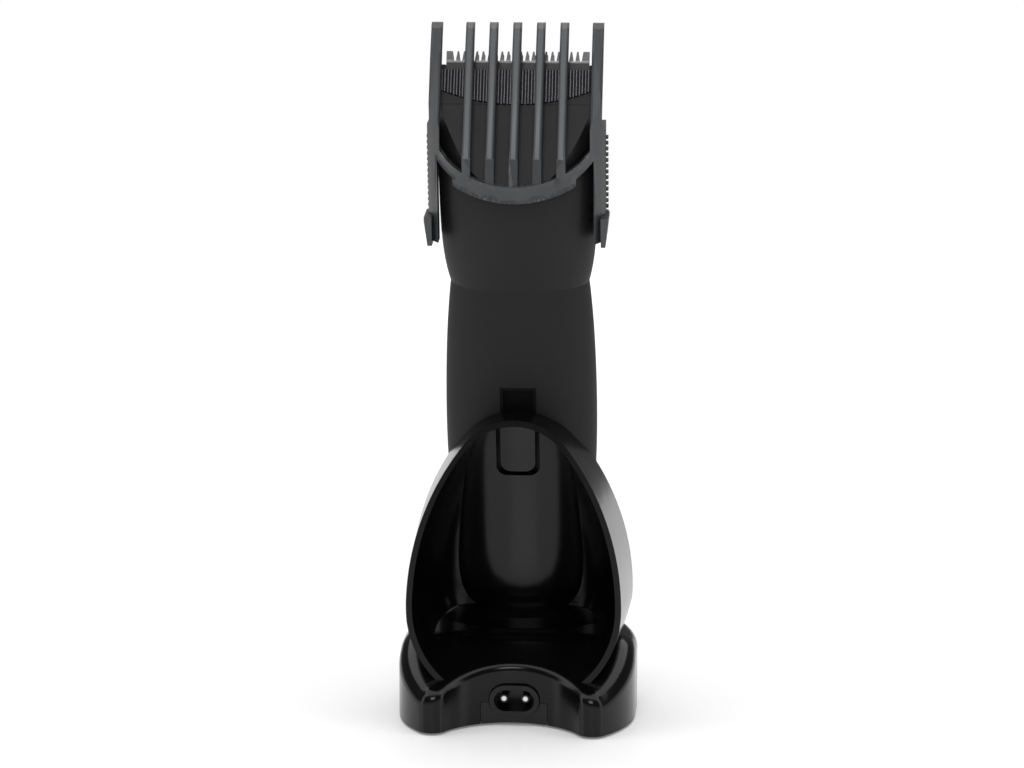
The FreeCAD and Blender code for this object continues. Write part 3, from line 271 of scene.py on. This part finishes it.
# ---------------------------------------------------------------- comb
# One moulding in charcoal nylon: seven bullet-ended teeth on a curved band, a crescent below the
# window, and two arms with fine click ribs and a thumb tab. Its edges are softened by the mould.
comb_plastic = Finish("comb_plastic", (0.034, 0.0355, 0.038), 0.36, Specular_IOR_Level=0.45)
comb_plastic.moulded(0.1, 120, 900, 0.00004)
tooth_pitch, tooth_root = 0.0071, 0.176
# Each tooth is lighter down its middle above the band: a painted highlight along its ridge, mixed with random
# tone.
beside = comb_plastic.maths("PINGPONG", comb_plastic.along("X"), tooth_pitch / 2)
painted_tooth_highlight = (beside < 0.0007) * (comb_plastic.along("Z") > tooth_root)
cloud = comb_plastic.noise(120, 3, 0.6)
comb_plastic.tint(painted_tooth_highlight * 0.75 + cloud * 0.2, (0.027, 0.028, 0.03), (0.085, 0.087, 0.09))


def joined_copy(node, name):
    """A copy of a moulding with its faces joined at their edges."""
    item = bpy.data.objects.new(name, nodes[node].data.copy())
    scene.collection.objects.link(item)
    bpy.context.view_layer.objects.active = item
    item.select_set(True)
    bpy.ops.object.mode_set(mode="EDIT")
    bpy.ops.mesh.select_all(action="SELECT")
    bpy.ops.mesh.remove_doubles(threshold=0.000002)
    bpy.ops.mesh.select_all(action="DESELECT")
    bpy.ops.object.mode_set(mode="OBJECT")
    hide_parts(node)
    return item


def tooth_edge(start, end):
    """The two long edges along the outer face of each tooth, above the comb's band."""
    upright = abs(start.x - end.x) < 0.0001 and (start - end).length > 0.005
    return upright and max(start.z, end.z) > band_height and min(start.z, end.z) > 0.165


band_height, tooth_round = 0.189, 0.0008
comb = joined_copy("comb", "comb_moulding")
mesh = comb.data
faces = {}
for face in mesh.polygons:
    for key in face.edge_keys:
        faces.setdefault(key, []).append(face.normal)
weight = mesh.attributes.new("bevel_weight_edge", "FLOAT", "EDGE")
for edge in mesh.edges:
    sides = faces.get(edge.key, [])
    turned = len(sides) == 2 and sides[0].angle(sides[1], 0) > math.radians(60)
    if turned and tooth_edge(*[mesh.vertices[index].co for index in edge.vertices]):
        weight.data[edge.index].value = 1.0
bevel = comb.modifiers.new("tooth_round", "BEVEL")
bevel.limit_method = "WEIGHT"
bevel.width = tooth_round
bevel.segments = 2
bevel.use_clamp_overlap = False
bpy.ops.object.modifier_apply(modifier=bevel.name)
bpy.ops.object.shade_smooth_by_angle(angle=math.radians(12))
comb.select_set(False)
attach(comb, "comb")
comb_plastic.paint(comb)

# ---------------------------------------------------------------- charging stand
# A high-gloss black ABS housing: round-ended base with a notch, pointed back rest and a moulded cup.
# The latch tongue is part of the same moulding, and the satin bottom plate is screwed on below.
stand_gloss = Finish("stand_gloss", (0.0016, 0.0016, 0.0018), 0.14, Specular_IOR_Level=0.25)
smear = stand_gloss.noise(35, 4, 0.6)
stand_gloss.drive("Roughness", 0.15 + smear * 0.06)
stand_gloss.tint(smear, (0.0013, 0.0013, 0.0015), (0.0019, 0.0019, 0.0021))
stand_gloss.bump(stand_gloss.noise(70, 2), 0.00006, 0.5)
stand_gloss.paint("stand_housing", "latch_tongue")
plate_plastic = Finish("plate_plastic", (0.0045, 0.0045, 0.0048), 0.34, Specular_IOR_Level=0.35)
plate_plastic.moulded(0.1, 90, 1800, 0.00005).paint("bottom_plate", "contact_block")
foot_rubber = Finish("foot_rubber", (0.015, 0.015, 0.015), 0.9).moulded(0.12, 250, 900, 0.0001)
foot_rubber.paint("rubber_feet")

# ---------------------------------------------------------------- mains inlet
# An oblong shroud in black nylon that stands out of the notch, with two nickel-plated pins.
inlet_plastic = Finish("inlet_plastic", (0.0022, 0.0022, 0.0024), 0.2, Specular_IOR_Level=0.3)
inlet_plastic.moulded(0.1, 200, 2500, 0.00003).paint("inlet_socket")
pin_nickel = Finish("pin_nickel", (0.5, 0.49, 0.46), 0.24, Metallic=1.0)
pin_nickel.moulded(0.1, 700, 2500, 0.00002, (1, 0.1, 1)).paint("inlet_pins")
# Beyond 0.75 mm from each pin's middle the colour is near black: a painted shade ring round a bright pin
# face.
across = pin_nickel.maths("ABSOLUTE", pin_nickel.along("X"), 0) - 0.0033
up = pin_nickel.along("Z") - 0.0082
painted_shade_ring = (across * across + up * up) > 0.00075 ** 2
pin_nickel.tint(painted_shade_ring, (0.75, 0.74, 0.7), (0.05, 0.05, 0.05))

# ---------------------------------------------------------------- power supply in the base
# A small board on four posts with a laminated core and a sleeved can.
core_iron = Finish("core_iron", (0.16, 0.155, 0.15), 0.5, Metallic=0.6)
core_iron.drive("Roughness", 0.4 + core_iron.noise(250, 2) * 0.25)
core_iron.bump(core_iron.node("TexWave", {"bands_direction": "Z"}, {"Vector": core_iron.place(),
                                                                    "Scale": 300.0}), 0.0001, 0.8)
core_iron.paint("transformer")
can_sleeve = Finish("can_sleeve", (0.015, 0.02, 0.06), 0.3).moulded(0.15, 200, 1200, 0.00004)
can_sleeve.paint("capacitor")

# ---------------------------------------------------------------- studio
# A white table under one wide softbox, with a strip either side and a small box in front.
# The table glows with painted light of its own, dimmer near the middle and full further out, which paints a
# pool of shade round the stand.
floor_white = Finish("floor_white", (0.9, 0.9, 0.9), 0.2, Emission_Strength=0.6)
away = floor_white.node("VectorMath", {"operation": "LENGTH"}, {0: floor_white.place()}, out=1)
glow = floor_white.node("MapRange", values={"Value": away, "From Min": 0.15, "From Max": 0.95,
                                             "To Min": 0.22, "To Max": 1.0})
floor_white.drive("Emission Color", floor_white.node(
    "Mix", {"data_type": "RGBA"}, {0: glow, 6: (0, 0, 0, 1), 7: (1, 1, 1, 1)}, out=2))
bpy.ops.mesh.primitive_circle_add(vertices=96, radius=1.1, fill_type="NGON", location=(0, 0, 0))
floor = bpy.context.object
floor.name = "floor"
floor_white.paint(floor)

world = bpy.data.worlds.new("studio")
world.use_nodes = True
tree = world.node_tree
sky = tree.nodes["Background"]
seen = tree.nodes.new("ShaderNodeLightPath")
level = tree.nodes.new("ShaderNodeMapRange")
tree.links.new(seen.outputs["Is Camera Ray"], level.inputs["Value"])
level.inputs["To Min"].default_value = 0.13
level.inputs["To Max"].default_value = 1.0
tree.links.new(level.outputs["Result"], sky.inputs["Strength"])
sky.inputs["Color"].default_value = (1, 1, 1, 1)
scene.world = world


def softbox(name, place, target, wide, high, watts):
    """A rectangular lamp facing the target."""
    bpy.ops.object.light_add(type="AREA", location=place)
    lamp = bpy.context.object
    lamp.name = name
    lamp.data.shape = "RECTANGLE"
    lamp.data.size = wide
    lamp.data.size_y = high
    lamp.data.energy = watts
    lamp.rotation_euler = (Vector(target) - Vector(place)).to_track_quat("-Z", "Y").to_euler()
    return lamp


softbox("top_softbox", (0, 0.45, 1.5), (0, 0.45, 0), 3.0, 3.0, 52)
softbox("left_strip", (-0.9, -0.25, 0.45), (0, 0, 0.1), 0.35, 0.9, 2.0)
softbox("right_strip", (0.9, -0.25, 0.45), (0, 0, 0.1), 0.35, 0.9, 2.0)
softbox("front_softbox", (0, -1.5, 0.9), (0, 0, 0.1), 0.7, 0.5, 7)
